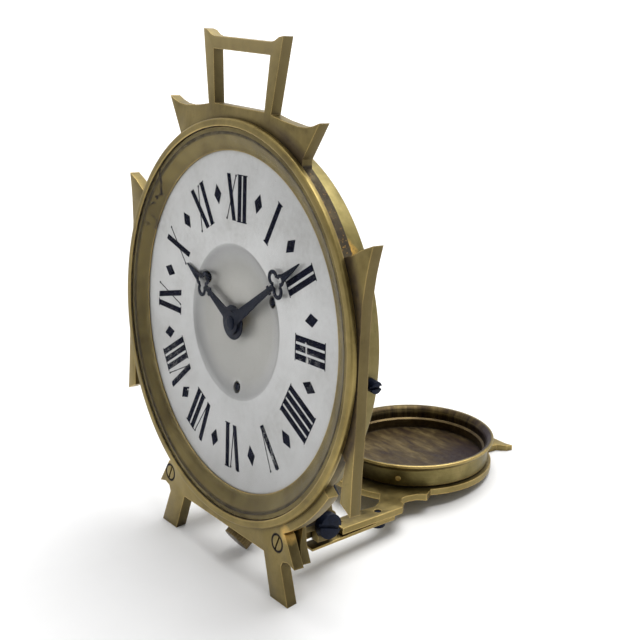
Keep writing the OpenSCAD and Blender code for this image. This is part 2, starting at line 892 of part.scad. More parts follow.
module fourth_wheel() {
    color(BRIGHT_BRASS) standing() {
        train_arbor(FOURTH, 0.42);
        gear(FOURTH, fourth_pinion_teeth, third_module, fourth_phase, 9.9, 10.7);
        spoked_wheel(FOURTH, fourth_teeth, fourth_module, fourth_phase, 11, 11.4, 0.42);
    }
}

escape_r = 3;

module escape_wheel() {
    color(STEEL) standing() {
        train_arbor(ESCAPE, 0.38);
        gear(ESCAPE, escape_pinion_teeth, fourth_module, escape_phase, 10.9, 11.5);
        slab_at(ESCAPE, 11.8, 12.1)
            union() {
                circle(r = 2.1, $fn = 48);
                for (i = [0 : escape_teeth - 1])
                    rotate(i * 360 / escape_teeth)
                        polygon([[2, -0.35], [escape_r, 0.1], [escape_r, 0.3], [2, 0.5]]);
            }
    }
}

// Pallet lever: an anchor above the escape wheel and a forked tail to the balance
module pallet_lever() {
    reach = escape_r + 0.25;
    color(STEEL) standing() {
        train_arbor(LEVER, 0.35);
        slab_at(LEVER, 11.75, 12.15) {
            circle(r = 0.9, $fn = 40);
            rotate(lever_dir + 180)
                difference() {
                    translate([0.4, -3.4]) square([1.7, 6.8]);
                    translate([5, 0]) circle(r = reach, $fn = 64);
                }
            rotate(balance_dir) translate([0, -0.35]) square([3.6, 0.7]);
        }
    }
}

balance_r = 6.6;

module balance_wheel() {
    color(BRIGHT_BRASS) standing() {
        disc(BALANCE, 0.3, drum_back - 0.7, 15.1);
        disc(BALANCE, 0.8, 9, 13.6);
        slab_at(BALANCE, 13.6, 14.1) {
            difference() {
                circle(r = balance_r, $fn = 96);
                circle(r = balance_r - 0.9, $fn = 96);
            }
            circle(r = 1, $fn = 48);
            square([2 * balance_r - 1, 0.8], center = true);
        }
    }
}

// Flat spiral whose outer end is held by a stud on the balance cock
module hairspring() {
    color(BLUED) standing() {
        slab_at(BALANCE, 14.25, 14.65) rotate(cock_dir) spiral_strip(0.7, 3.6, 5, 0.14, 90);
        disc(step_to(BALANCE, cock_dir, 3.7), 0.3, 14.25, 14.8);
    }
}

module alarm_hammer() {
    color(STEEL) standing() {
        disc(HAMMER, pivot_hole_r - fit_gap, drum_back - 0.7, drum_back + 0.1);
        disc(HAMMER, 0.6, drum_back + 0.1, 12.5);
        disc(HAMMER, pivot_hole_r - fit_gap, 12.5, 13.1);
        slab_at(HAMMER, 10.6, 11.4) {
            translate([0, -0.3]) square([4.2, 0.6]);
            translate([4.5, 0]) circle(r = 0.9, $fn = 48);
        }
    }
}

// ---------------------------------------------------------------- base plate and dish

arm_in_x = 17.5;
arm_start = 5.4;
web_r = 26.3;
flange_r = 21.8;
tail_end = 75.9;
base_low = -base_drop;
base_top = base_low + base_t;
spring_screw_at = [20.5, 18.4];

module half_base_outline() {
    // Arm with its stepped ear beside the ring
    polygon([[arm_in_x, arm_start], [lug_out_x, arm_start], [lug_out_x, 24.8], [21.6, 26.2],
        [19.6, 27], [18.6, 28.2], [18.4, 30], [19.2, 32.8], [21, 34.75], [19.3, 37.6], [14, 42],
        [8, 30], [16.6, 22], [18.2, 19.4], [arm_in_x, 15]]);
    // Half of the rear crossbar and its stem
    polygon([[0, 68], [7.4, 68], [8.6, 72.6], [11, tail_end - 1.6], [11.6, tail_end],
        [9.6, tail_end - 0.5], [0, tail_end - 0.5]]);
}

module base_outline() {
    difference() {
        union() {
            half_base_outline();
            mirror([1, 0]) half_base_outline();
            translate([0, dish_reach]) circle(r = flange_r, $fn = 128);
            // Web in front of the ring
            intersection() {
                translate([0, dish_reach]) circle(r = web_r, $fn = 128);
                translate([-18, 10]) square([36, 28]);
            }
        }
        translate([0, dish_reach]) circle(r = dish_r - 4.2, $fn = 128);
    }
}

module knuckle() {
    side_slab(knuckle_in_x, lug_in_x - 0.35)
        union() {
            circle(r = 3.1, $fn = 64);
            translate([-7.6, -4.4]) square([7.6, 4.2]);
            polygon([[-1.2, -2.8], [3.05, -0.6], [8.5, base_top - 0.2], [8.5, base_low],
                [3.5, base_low]]);
        }
}

// Part of the world below the ground, seen from the base plate's frame
module ground_under_base() {
    rotate([-base_tilt, 0, 0]) translate([0, -pivot_y, -pivot_z]) below_ground();
}

module base_frame() {
    color(BRASS) standing()
        on_base()
            difference() {
                union() {
                    translate([0, 0, base_low]) linear_extrude(base_t) base_outline();
                    both_sides() knuckle();
                }
                both_sides() {
                    rotate([0, 90, 0]) cylinder(r = pivot_r + fit_gap, h = 40, $fn = 48);
                    translate([spring_screw_at[0], spring_screw_at[1], base_low - 1])
                        cylinder(r = 0.95, h = 6, $fn = 48);
                }
                ground_under_base();
            }
}

dish_top = base_low + dish_h;
dish_low = base_top + 0.35;

// Turns a profile of [radius, height] points about the dish's axis
module dish_turned(profile) {
    translate([0, dish_reach, 0]) rotate_extrude($fn = 128) polygon(profile);
}

// Wall with a flared lip, and the spigot that joins it to the base ring
module dish_cup() {
    color(BRASS) standing()
        on_base()
            difference() {
                dish_turned([[0, dish_low], [dish_r - 4.5, dish_low], [dish_r - 4.5, base_top],
                    [dish_r - 2.4, base_top], [dish_r - 2.4, dish_low], [dish_r, dish_low],
                    [dish_r, dish_top - 2], [dish_r + 0.5, dish_top - 1.4],
                    [dish_r + 1.5, dish_top - 0.9], [dish_r + 1.75, dish_top - 0.4],
                    [dish_r + 1.5, dish_top], [dish_r + 0.6, dish_top], [dish_r - 0.2, dish_top - 0.7],
                    [dish_r - 0.7, dish_top - 1.6], [dish_r - 0.7, dish_low + 0.6],
                    [0, dish_low + 0.6]]);
                for (a = DISH_PIN_ANGLES)
                    dish_pin_axis(a) cylinder(r = 0.75, h = 8, center = true, $fn = 48);
            }
}

// Inner stepped ring, pinned to the wall
module dish_liner() {
    color(DARK_BRASS) standing()
        on_base()
            difference() {
                dish_turned([[dish_r - 1.5, dish_low + 0.6], [dish_r - 0.72, dish_low + 0.6],
                    [dish_r - 0.72, dish_low + 3.4], [dish_r - 0.95, dish_low + 3.4],
                    [dish_r - 1.5, dish_low + 3]]);
                for (a = DISH_PIN_ANGLES)
                    dish_pin_axis(a) cylinder(r = 0.75, h = 8, center = true, $fn = 48);
            }
}

DISH_PIN_ANGLES = [-52, 68, 188];
pin_height = dish_low + 2.1;

// Frame of one dish pin: Z points outwards through the wall
module dish_pin_axis(a) {
    translate([0, dish_reach, pin_height])
        rotate([0, 0, a]) translate([dish_r, 0, 0]) rotate([0, 90, 0]) children();
}

module dish_pins() {
    color(BRIGHT_BRASS) standing()
        on_base()
            for (a = DISH_PIN_ANGLES)
                dish_pin_axis(a) translate([0, 0, -1.3]) cylinder(r = 0.75, h = 1.4, $fn = 48);
}

leaf_in_x = 18.6;
leaf_t = 0.9;
leaf_top = base_low - 0.22;

module leaf_springs() {
    color(BRASS) standing()
        on_base()
            both_sides()
                difference() {
                    union() {
                        side_slab(leaf_in_x, lug_out_x)
                            polygon([[-4, leaf_top - 1.4], [16, leaf_top - leaf_t],
                                [22.4, leaf_top - leaf_t], [22.4, leaf_top], [16, leaf_top],
                                [-4, leaf_top - 0.75]]);
                        // Raised seat under the screw
                        translate([leaf_in_x, 16, leaf_top - 0.1])
                            cube([lug_out_x - leaf_in_x, 6.4, base_low - leaf_top + 0.1]);
                    }
                    translate([spring_screw_at[0], spring_screw_at[1], base_low - 3])
                        cylinder(r = 0.95, h = 6, $fn = 48);
                }
}

module spring_screws() {
    color(BLUED) standing()
        on_base()
            both_sides()
                translate([spring_screw_at[0], spring_screw_at[1], 0]) {
                    translate([0, 0, leaf_top - leaf_t - 1.2])
                        cylinder(r = 1.9, h = 1.2, $fn = 48);
                    translate([0, 0, leaf_top - leaf_t])
                        cylinder(r = 0.9, h = leaf_t + base_t, $fn = 48);
                }
}

frame_casting();
bezel_rim();
sight_ring();
dial_glass();
dial();
dial_numerals();
dial_diamonds();
drum_case();
pillar_plate();
plate_pillars();
plate_screws();
rear_cover();
hinge_bracket_right();
hinge_bracket_left();
bracket_screws();
pivot_screws();
drum_screws();
stop_bracket();
stop_bracket_screw();
stop_button();
minute_hand();
hand_nut();
cannon_pinion();
centre_arbor();
centre_wheel();
hour_hand();
hour_wheel();
minute_wheel();
minute_wheel_stud();
going_barrel();
going_mainspring();
going_arbor();
alarm_barrel();
alarm_mainspring();
alarm_arbor();
alarm_setting_arbor();
third_wheel();
fourth_wheel();
escape_wheel();
pallet_lever();
balance_wheel();
hairspring();
train_bridge();
bridge_pillars();
bridge_screws();
balance_cock();
alarm_hammer();
base_frame();
dish_cup();
dish_liner();
dish_pins();
leaf_springs();
spring_screws();
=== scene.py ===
"""Folding travel alarm clock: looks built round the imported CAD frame."""
import json
from math import cos, pi, radians, sin

import bmesh
import bpy
from mathutils import Matrix, Vector

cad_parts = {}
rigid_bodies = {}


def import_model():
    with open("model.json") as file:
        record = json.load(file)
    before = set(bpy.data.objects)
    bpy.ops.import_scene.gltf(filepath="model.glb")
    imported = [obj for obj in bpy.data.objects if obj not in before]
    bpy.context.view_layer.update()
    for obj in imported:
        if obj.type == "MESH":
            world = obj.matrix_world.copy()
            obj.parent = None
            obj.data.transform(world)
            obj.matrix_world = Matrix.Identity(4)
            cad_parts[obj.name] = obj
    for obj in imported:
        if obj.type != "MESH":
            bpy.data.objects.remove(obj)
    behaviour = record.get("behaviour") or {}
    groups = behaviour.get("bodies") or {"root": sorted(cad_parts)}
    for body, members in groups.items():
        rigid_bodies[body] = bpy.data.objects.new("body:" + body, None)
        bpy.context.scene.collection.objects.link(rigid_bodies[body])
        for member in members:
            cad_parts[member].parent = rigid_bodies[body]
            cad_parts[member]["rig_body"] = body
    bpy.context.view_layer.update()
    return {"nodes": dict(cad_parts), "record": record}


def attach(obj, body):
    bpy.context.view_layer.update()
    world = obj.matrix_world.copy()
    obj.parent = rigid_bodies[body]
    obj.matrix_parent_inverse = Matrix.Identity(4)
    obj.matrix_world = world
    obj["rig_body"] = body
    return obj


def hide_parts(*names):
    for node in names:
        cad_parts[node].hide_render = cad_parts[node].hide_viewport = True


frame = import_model()
NODES = frame["nodes"]

MM = 0.001

# ---------------------------------------------------------------- the clock's own frames
LEAN = 10.2  # degrees that the clock leans back
BASE_TILT = 4.13  # degrees that the base plate turns from the casting's own level
FOOT_Y = -46.47
PLATE_FRONT = -0.4
DIAL_Z = 62.55
HINGE_Y, HINGE_Z = 14.9, 15.4
DISH_Y = 48.1  # from the hinge to the dish's axis
STAND = (
    Matrix.Translation(Vector((0, FOOT_Y, 0)) * MM)
    @ Matrix.Rotation(radians(-LEAN), 4, "X")
    @ Matrix.Translation(Vector((0, -PLATE_FRONT, 0)) * MM)
)
DIAL = STAND @ Matrix.Translation(Vector((0, 0, DIAL_Z)) * MM)
BASE = (
    STAND
    @ Matrix.Translation(Vector((0, HINGE_Y, HINGE_Z)) * MM)
    @ Matrix.Rotation(radians(BASE_TILT), 4, "X")
)
DISH = BASE @ Matrix.Translation(Vector((0, DISH_Y, 0)) * MM)


# ---------------------------------------------------------------- material graphs
class Graph:
    """A material's node tree, with short calls for the nodes used here."""

    def __init__(self, name):
        self.mat = bpy.data.materials.new(name)
        self.mat.use_nodes = True
        self.tree = self.mat.node_tree
        self.tree.nodes.clear()

    def add(self, kind, out=0, props=None, **inputs):
        """A node's output; inputs go by name, or by number as i0, i1 and so on."""
        node = self.tree.nodes.new("ShaderNode" + kind)
        for key, value in (props or {}).items():
            setattr(node, key, value)
        for key, value in inputs.items():
            key = int(key[1:]) if key[0] == "i" and key[1:].isdigit() else key.replace("_", " ")
            self.feed(node.inputs[key], value)
        return node.outputs[out]

    def feed(self, socket, value):
        if isinstance(value, bpy.types.NodeSocket):
            self.tree.links.new(value, socket)
        else:
            socket.default_value = value

    def math(self, op, a, b=0.0, clamp=False):
        return self.add("Math", props={"operation": op, "use_clamp": clamp}, i0=a, i1=b)

    def times(self, a, b):
        return self.math("MULTIPLY", a, b)

    def plus(self, a, b, clamp=False):
        return self.math("ADD", a, b, clamp)

    def vector(self, op, a, b=None, out=0, **inputs):
        """A vector operation's vector (out 0) or its number (out 1)."""
        if b is not None:
            inputs["i1"] = b
        return self.add("VectorMath", out, {"operation": op}, i0=a, **inputs)

    def split(self, point):
        """A position's x, y and z."""
        node = self.tree.nodes.new("ShaderNodeSeparateXYZ")
        self.feed(node.inputs[0], point)
        return tuple(node.outputs)

    def mix(self, factor, a, b):
        """Colour a, turned into colour b by factor."""
        return self.add("Mix", 2, {"data_type": "RGBA"}, i0=factor, i6=a, i7=b)

    def ramp(self, factor, stops):
        node = self.tree.nodes.new("ShaderNodeValToRGB")
        self.feed(node.inputs[0], factor)
        elements = node.color_ramp.elements
        while len(elements) < len(stops):
            elements.new(0.5)
        for element, (position, colour) in zip(elements, stops):
            element.position = position
            element.color = (*colour, 1) if len(colour) == 3 else colour
        return node.outputs[0]

    def span(self, value, low, high, to_low=0.0, to_high=1.0):
        """Value from low..high mapped to to_low..to_high, clamped."""
        return self.add("MapRange", i0=value, i1=low, i2=high, i3=to_low, i4=to_high)

    def place(self, where=None, scale=(1, 1, 1)):
        """Position in the row frame, or in a part's own frame, then scaled."""
        point = self.add("TexCoord", 3)
        if where is not None:
            point = self.add(
                "Mapping",
                props={"vector_type": "TEXTURE"},
                Vector=point,
                Location=where.to_translation(),
                Rotation=where.to_euler(),
            )
        if scale != (1, 1, 1):
            point = self.vector("MULTIPLY", point, scale)
        return point

    def noise(self, point, scale, detail=4.0, rough=0.55, distortion=0.0):
        return self.add(
            "TexNoise",
            Vector=point,
            Scale=scale,
            Detail=detail,
            Roughness=rough,
            Distortion=distortion,
        )

    def near(self, point, centre, radius, wobble=0.0):
        """1 at a point of a part's frame, in mm, fading to 0 at radius."""
        away = self.vector("SUBTRACT", point, Vector(centre) * MM)
        length = self.vector("LENGTH", away, out=1)
        if wobble:
            ripple = self.noise(point, 700, 3)
            length = self.plus(length, self.times(ripple, wobble * MM))
            radius += wobble / 2
        return self.span(length, radius * MM, radius * MM * 0.6)

    def line(self, point, start, end, width, wobble=0.0):
        """1 along a segment in a part's frame, in mm, fading to 0 at width from it."""
        start, end = Vector(start) * MM, Vector(end) * MM
        along = end - start
        away = self.vector("SUBTRACT", point, start)
        reach = self.vector("DOT_PRODUCT", away, along / along.length_squared, out=1)
        reach = self.math("MINIMUM", self.math("MAXIMUM", reach, 0.0), 1.0)
        foot = self.vector("SCALE", along, Scale=reach)
        gap = self.vector("SUBTRACT", away, foot)
        if wobble:
            sway = self.add("TexNoise", 1, Vector=point, Scale=380, Detail=3)
            sway = self.vector("SUBTRACT", sway, (0.5, 0.5, 0.5))
            sway = self.vector("SCALE", sway, Scale=wobble * MM)
            gap = self.vector("ADD", gap, sway)
        gap = self.vector("MULTIPLY", gap, (1, 0, 1))
        length = self.vector("LENGTH", gap, out=1)
        return self.span(length, width * MM, width * MM * 0.4)

    def most(self, *values):
        """The largest of some values."""
        value = values[0]
        for other in values[1:]:
            value = self.math("MAXIMUM", value, other)
        return value

    def polar(self, point, axis, angular, radial, along):
        """Coordinates that run round an axis, for turned and spun marks."""
        parts = self.split(point)
        x, y, h = (parts[i] for i in {"Y": (0, 2, 1), "Z": (0, 1, 2)}[axis])
        radius = self.math("SQRT", self.plus(self.times(x, x), self.times(y, y)))
        angle = self.math("ARCTAN2", y, x)
        return self.add(
            "CombineXYZ",
            i0=self.times(radius, radial),
            i1=self.times(angle, angular),
            i2=self.times(h, along),
        ), radius

    def edges(self, radius):
        """1 along sharp edges, 0 on flats."""
        soft = self.add("Bevel", props={"samples": 4}, Radius=radius * MM)
        true = self.add("NewGeometry", 1)
        dot = self.vector("DOT_PRODUCT", soft, true, out=1)
        return self.span(dot, 0.995, 0.88)

    def crevice(self, distance, low=0.25, high=0.85):
        """1 deep in corners and gaps, 0 in the open."""
        open_sky = self.add("AmbientOcclusion", 1, {"samples": 6}, Distance=distance * MM)
        return self.span(open_sky, high, low)

    def surface(self, colour, rough, metallic=1.0, height=None, relief=0.05, **sockets):
        """The finished material; relief is the bump's depth in mm."""
        given = {"Base Color": colour, "Roughness": rough, "Metallic": metallic}
        given.update({k.replace("_", " "): v for k, v in sockets.items()})
        shader = self.tree.nodes.new("ShaderNodeBsdfPrincipled")
        for key, value in given.items():
            self.feed(shader.inputs[key], value)
        if height is not None:
            bump = self.add("Bump", Strength=1.0, Distance=relief * MM, Height=height)
            self.feed(shader.inputs["Normal"], bump)
        out = self.tree.nodes.new("ShaderNodeOutputMaterial")
        self.tree.links.new(shader.outputs[0], out.inputs[0])
        return self.mat


# Colour of dirt and of painted shade in corners and gaps
DIRT_AND_SHADE = (0.022, 0.015, 0.010, 1)
BRASS_RELIEF = 0.02


def brass(
    name,
    stops,
    gold,
    rough=(0.34, 0.54),
    where=None,
    turned=None,
    edge=0.5,
    edge_amount=0.7,
    crevice=2.5,
    dirt_and_shade_amount=0.9,
    extra=None,
):
    """Aged brass: cloudy tarnish, fine brushing, bright worn edges, and dirt with painted shade in the
    corners.
    """
    g = Graph(name)
    point = g.place(where)
    clouds = g.noise(point, 75, 5, 0.6, 0.4)
    mottle = g.noise(point, 420, 6, 0.62)
    if turned:
        spun, _ = g.polar(point, turned, 3.0, 9000, 9000)
        grain = g.noise(spun, 1.0, 3, 0.6)
    else:
        grain = g.noise(g.place(where, (5200, 5200, 260)), 1.0, 3, 0.6)
    tone = g.math(
        "ADD",
        g.times(clouds, 0.55),
        g.plus(g.times(mottle, 0.30), g.times(grain, 0.15)),
    )
    colour = g.ramp(g.span(tone, 0.34, 0.66), stops)
    roughness = g.span(g.plus(mottle, g.times(grain, 0.5)), 0.5, 1.0, *rough)
    worn = g.times(g.edges(edge), g.span(clouds, 0.3, 0.6, edge_amount * 0.5, edge_amount))
    colour = g.mix(worn, colour, gold)
    pits = g.span(g.noise(point, 1500, 3, 0.5), 0.66, 0.74)
    pits = g.times(pits, g.span(clouds, 0.52, 0.66, 0.0, 0.55))
    # Darker in corners and gaps from the occlusion mask: partly dirt, partly painted shade
    dirt_and_shade = g.times(g.crevice(crevice), g.span(mottle, 0.28, 0.6, 0.35, dirt_and_shade_amount))
    dirt_and_shade = g.math("MAXIMUM", dirt_and_shade, pits)
    if extra:
        colour, dirt_and_shade = extra(g, point, colour, dirt_and_shade, clouds, mottle)
    colour = g.mix(dirt_and_shade, colour, DIRT_AND_SHADE)
    roughness = g.plus(roughness, g.times(dirt_and_shade, 0.25), True)
    metallic = g.span(dirt_and_shade, 0.0, 1.0, 1.0, 0.35)
    height = g.math(
        "SUBTRACT",
        g.plus(g.times(mottle, 0.5), g.times(grain, 0.25)),
        g.times(pits, 0.6),
    )
    return g.surface(colour, roughness, metallic, height, BRASS_RELIEF)


OLIVE = [(0.0, (0.135, 0.100, 0.040)), (0.45, (0.235, 0.180, 0.068)), (1.0, (0.330, 0.258, 0.105))]
TURNED = [(0.0, (0.140, 0.105, 0.042)), (0.5, (0.245, 0.188, 0.068)), (1.0, (0.350, 0.272, 0.105))]
SPUN = [(0.0, (0.150, 0.120, 0.044)), (0.5, (0.270, 0.222, 0.085)), (1.0, (0.410, 0.335, 0.140))]
BROWN = [(0.0, (0.028, 0.020, 0.016)), (0.5, (0.085, 0.060, 0.030)), (1.0, (0.190, 0.140, 0.062))]
CLEAN = [(0.0, (0.470, 0.340, 0.120)), (0.5, (0.620, 0.460, 0.175)), (1.0, (0.740, 0.570, 0.240))]
SIGHT = [(0.0, (0.105, 0.080, 0.036)), (0.5, (0.180, 0.141, 0.058)), (1.0, (0.270, 0.212, 0.090))]
SPUN_DARK = [(0.0, (0.085, 0.068, 0.026)), (0.5, (0.160, 0.131, 0.050)), (1.0, (0.290, 0.235, 0.098))]
GOLD = (0.86, 0.62, 0.24, 1)
DULL_GOLD = (0.34, 0.25, 0.12, 1)
WORN_GOLD = (0.45, 0.34, 0.16, 1)


def ring_damage(g, point, colour, dirt_and_shade, clouds, mottle):
    """A crack and dark blotches on the sight ring's upper left."""
    crack = g.most(
        g.line(point, (-34.5, 0, 33), (-35.5, 0, 26.5), 0.5, 2.2),
        g.line(point, (-35.5, 0, 26.5), (-41.5, 0, 21), 0.55, 2.6),
        g.times(g.line(point, (-36.5, 0, 30.5), (-39.5, 0, 28.5), 0.4, 2.0), 0.6),
    )
    blot = g.near(point, (-39.5, 0, 17.5), 4, 2)
    blot = g.times(blot, g.span(g.noise(point, 480, 3), 0.50, 0.60))
    haze = g.times(g.near(point, (-38.5, 0, 23), 9, 6), 0.15)
    return colour, g.most(dirt_and_shade, crack, g.times(blot, 0.75), haze)


def drum_damage_and_painted_shade(g, point, colour, dirt_and_shade, clouds, mottle):
    """A gold corroded patch with a dark pit, painted shade towards the bottom, and a crust of debris
    against the casting.
    """
    patch = g.near(point, (39.1, 3.0, 25.2), 3.6, 2.4)
    colour = g.mix(patch, colour, (0.86, 0.50, 0.11, 1))
    pit = g.near(point, (39.3, 4.4, 24.9), 0.8, 0.7)
    flecks = g.times(g.span(g.noise(point, 1700, 2), 0.52, 0.58), patch)
    _, y, z = g.split(point)
    # Painted shade: the drum darker towards the bottom
    low = g.span(z, 24 * MM, 4 * MM, 0.0, 0.5)
    colour = g.mix(low, colour, (0.075, 0.058, 0.028, 1))
    crust = g.span(g.plus(y, g.times(mottle, 1.6 * MM)), 4.4 * MM, 3.3 * MM)
    dots = g.span(g.noise(point, 1300, 2), 0.47, 0.56)
    orange = g.times(crust, g.span(g.noise(point, 800, 2), 0.56, 0.64))
    colour = g.mix(g.times(orange, 0.7), colour, (0.42, 0.20, 0.05, 1))
    crust = g.times(g.times(crust, dots), 0.9)
    return colour, g.most(dirt_and_shade, pit, g.times(flecks, 0.75), crust)


SCREW_XS, SCREW_Z, SCREW_HOLE_R = (24.0, -26.2), -48.1, 2.1


def screw_rings(g, point):
    """Dark lines round the two flush screws in the ears."""
    lines = []
    for x in SCREW_XS:
        away = g.vector("SUBTRACT", point, Vector((x, 0, SCREW_Z)) * MM)
        away = g.vector("MULTIPLY", away, (1, 0, 1))
        length = g.vector("LENGTH", away, out=1)
        gap = g.math("ABSOLUTE", g.math("SUBTRACT", length, SCREW_HOLE_R * MM))
        lines.append(g.span(gap, 0.42 * MM, 0.22 * MM))
    return g.most(*lines)


def screw_wear(g, point, colour, dirt_and_shade, clouds, mottle):
    """The dark line round a flush screw's own rim."""
    return colour, g.most(dirt_and_shade, screw_rings(g, point))


def casting_wear_and_painted_light(g, point, colour, dirt_and_shade, clouds, mottle):
    """Rust at the rear edge and dark lines round the flush screws, with painted light: a handle paler
    towards the top, a painted dark reflection of the bezel in a band on the right wing, painted shade
    on right-facing faces and a painted glint on the ear.
    """
    _, radius = g.polar(point, "Y", 1, 1, 1)
    x, y, z = g.split(point)
    right = g.times(g.span(x, 8 * MM, 20 * MM), g.span(z, -30 * MM, -18 * MM))
    # Painted shade: a dark reflection of the bezel on the right wing's face next to it
    painted_rim_shade = g.times(g.span(radius, 53.8 * MM, 51.9 * MM), g.span(y, -0.25 * MM, -0.36 * MM))
    painted_rim_shade = g.times(g.times(painted_rim_shade, right), g.span(mottle, 0.3, 0.6, 0.6, 0.95))
    # Painted light: the handle paler towards its top
    colour = g.mix(g.span(z, 54 * MM, 72 * MM, 0.0, 0.42), colour, (0.560, 0.450, 0.225, 1))
    colour = g.mix(g.times(painted_rim_shade, 0.85), colour, (0.050, 0.034, 0.034, 1))
    rear = g.times(g.span(radius, 50.2 * MM, 49.8 * MM), g.span(y, -0.34 * MM, -0.1 * MM))
    rear = g.times(rear, right)
    # Painted shade: faces turned to the right are made darker
    facing_right = g.split(g.add("TexCoord", 1))[0]
    side = g.span(facing_right, 0.55, 0.9, 0.0, 0.62)
    colour = g.mix(side, colour, (0.060, 0.047, 0.026, 1))
    rust = g.times(rear, g.span(g.noise(point, 1500, 4, 0.7), 0.60, 0.66))
    gilt = g.near(point, (42.0, 1.4, 26.0), 4.5, 3)
    colour = g.mix(g.times(rust, 0.8), colour, (0.36, 0.17, 0.05, 1))
    colour = g.mix(g.times(gilt, rust), colour, (0.80, 0.44, 0.10, 1))
    rear = g.times(rear, g.span(rust, 0.5, 0.0, 0.35, 1.0))
    rear = g.times(rear, g.span(mottle, 0.35, 0.6, 0.7, 1.0))
    # Painted highlight: a gold glint on the ear's side face
    painted_glint = g.near(point, (27.2, 1.0, -44.6), 3.0, 1.5)
    colour = g.mix(g.times(painted_glint, 0.8), colour, (0.80, 0.52, 0.16, 1))
    return colour, g.most(dirt_and_shade, g.times(rear, 0.9), screw_rings(g, point))


def dish_stains(g, point, colour, dirt_and_shade, clouds, mottle):
    """Dark patina inside, with vertical streaks and purple-black stains; greenish gold outside."""
    spun, radius = g.polar(point, "Z", 9.0, 60, 40)
    streaks = g.noise(spun, 1.0, 5, 0.65)
    height = g.split(point)[2]
    lip = g.times(g.span(radius, 22.0 * MM, 21.5 * MM), g.span(height, 2.5 * MM, 2.8 * MM))
    inside = g.most(g.span(radius, 20.45 * MM, 20.25 * MM), lip)
    dark = g.ramp(
        g.span(g.plus(streaks, g.times(clouds, 0.5)), 0.55, 1.0),
        [(0.0, (0.022, 0.015, 0.015)), (0.45, (0.070, 0.050, 0.025)), (1.0, (0.170, 0.128, 0.056))],
    )
    swept = g.vector("MULTIPLY", point, (0.45, 1.8, 1))
    floor = g.ramp(
        g.span(g.noise(swept, 190, 6, 0.7, 0.3), 0.34, 0.68),
        [(0.0, (0.046, 0.029, 0.020)), (0.5, (0.100, 0.070, 0.032)), (1.0, (0.215, 0.160, 0.072))],
    )
    on_floor = g.span(radius, 18.9 * MM, 18.7 * MM)
    colour = g.mix(inside, colour, g.mix(on_floor, dark, floor))
    stain = g.times(g.near(point, (14, 12, 0), 15, 6), inside)
    colour = g.mix(g.times(stain, 0.8), colour, (0.026, 0.016, 0.024, 1))
    brown = g.times(g.near(point, (-3, -20, 0), 13, 8), g.span(inside, 1.0, 0.0))
    colour = g.mix(g.times(brown, 0.75), colour, (0.050, 0.038, 0.022, 1))
    return colour, dirt_and_shade


def dial_material():
    """Silvered dial with cloudy patina and a greyer sunk centre, with painted shade on the slope round
    it, across the top of the recess, towards the bottom of the dial and close to other parts.
    """
    g = Graph("silvered_dial")
    point = g.place(DIAL)
    spun, radius = g.polar(point, "Y", 4.0, 6000, 100)
    grain = g.noise(spun, 1.0, 4, 0.6)
    clouds = g.noise(point, 60, 5, 0.6)
    fine = g.noise(point, 900, 4, 0.6)
    colour = g.ramp(
        g.span(g.plus(clouds, g.times(fine, 0.35)), 0.45, 0.90),
        [(0.0, (0.580, 0.580, 0.565)), (0.5, (0.700, 0.704, 0.696)), (1.0, (0.780, 0.786, 0.782))],
    )
    sunk = g.span(radius, 18.9 * MM, 14.5 * MM)
    colour = g.mix(g.times(sunk, 0.72), colour, (0.44, 0.43, 0.385, 1))
    # Painted shade on the slope down to the sunk centre
    painted_slope_shade = g.times(g.span(radius, 19.5 * MM, 18.6 * MM), g.span(radius, 15.0 * MM, 18.2 * MM))
    colour = g.mix(g.times(painted_slope_shade, 0.35), colour, (0.25, 0.25, 0.25, 1))
    z = g.split(point)[2]
    shade = g.times(g.span(radius, 19.6 * MM, 19.2 * MM), g.span(radius, 9.0 * MM, 18.6 * MM))
    shade = g.times(shade, g.span(z, -6 * MM, 14 * MM, 0.15, 0.6))
    colour = g.mix(shade, colour, (0.22, 0.22, 0.22, 1))
    # Painted shade: the dial darker towards the bottom
    colour = g.mix(g.span(z, 12 * MM, -42 * MM, 0.0, 0.52), colour, (0.30, 0.30, 0.30, 1))
    rim = g.span(radius, 41.2 * MM, 42.3 * MM)
    colour = g.mix(g.times(rim, 0.4), colour, (0.42, 0.39, 0.32, 1))
    specks = g.times(g.span(g.noise(point, 1300, 2, 0.5), 0.70, 0.76), 0.6)
    colour = g.mix(specks, colour, (0.30, 0.27, 0.22, 1))
    # Painted shade: the dial darker close to other parts
    around = g.crevice(0.5, 0.3, 0.8)
    colour = g.mix(g.times(around, 0.5), colour, (0.20, 0.19, 0.17, 1))
    height = g.plus(g.times(grain, 0.5), fine)
    return g.surface(colour, g.span(grain, 0.2, 0.8, 0.34, 0.48), 0.55, height, 0.004)


def ink_material():
    """Blue-black engraved ink, crazed in three places and worn off along a few lines."""
    g = Graph("engraved_ink")
    point = g.place(DIAL)
    lines = g.math("ABSOLUTE", g.math("SUBTRACT", g.noise(point, 210, 4, 0.7, 1.5), 0.5))
    zone = g.most(*(g.near(point, spot, 6.5, 4) for spot in ((31, 0, -3), (-27, 0, -17), (17, 0, -27))))
    lost = g.times(g.times(g.span(lines, 0.010, 0.004), zone), 0.7)
    lost = g.most(
        lost,
        g.line(point, (30, 0, 2.5), (31, 0, -5), 0.5, 2.0),
        g.line(point, (-25.5, 0, 18), (-24.5, 0, 16.5), 0.35, 0.4),
        g.line(point, (-17.5, 0, -22), (-20.5, 0, -23.5), 0.3, 1.5),
    )
    colour = g.ramp(
        g.noise(point, 800, 4), [(0.3, (0.002, 0.003, 0.010)), (0.7, (0.006, 0.007, 0.022))]
    )
    colour = g.mix(lost, colour, (0.62, 0.62, 0.60, 1))
    rough = g.span(g.noise(point, 500), 0.3, 0.7, 0.45, 0.65)
    return g.surface(colour, rough, 0.0, g.noise(point, 2500), 0.01, Specular_IOR_Level=0.04)


